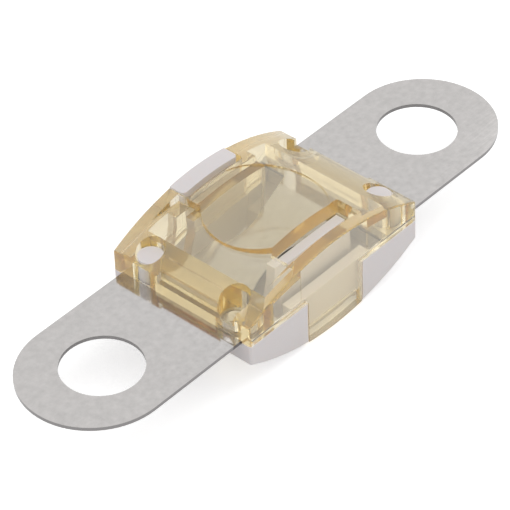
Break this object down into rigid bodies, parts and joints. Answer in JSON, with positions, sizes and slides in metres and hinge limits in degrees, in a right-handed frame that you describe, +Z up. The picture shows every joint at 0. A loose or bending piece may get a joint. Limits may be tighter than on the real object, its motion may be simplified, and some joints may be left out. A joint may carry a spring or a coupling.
{
  "type": "bolt down strip fuse",
  "caption": "Flat metal fuse strip with a bolt hole in each rounded end, and a small snap housing round its middle: a clear amber cover over a white base.",
  "frame": {"origin": "middle of the fuse: half way between the two bolt holes, in the middle plane of the strip", "axes": "+X along the strip from one bolt hole to the other, +Y across it, +Z up through the clear cover"},
  "size_m": [0.0412, 0.0116, 0.007],
  "materials": {
    "strip_metal": "matt grey tinned metal, faintly mottled",
    "amber_plastic": "clear pale amber moulded plastic, glossy",
    "white_plastic": "opaque white moulded plastic, satin"
  },
  "bodies": {
    "root": {"fuse_strip": "strip_metal", "upper_cover": "amber_plastic", "lower_base": "white_plastic"}
  },
  "joints": []
}
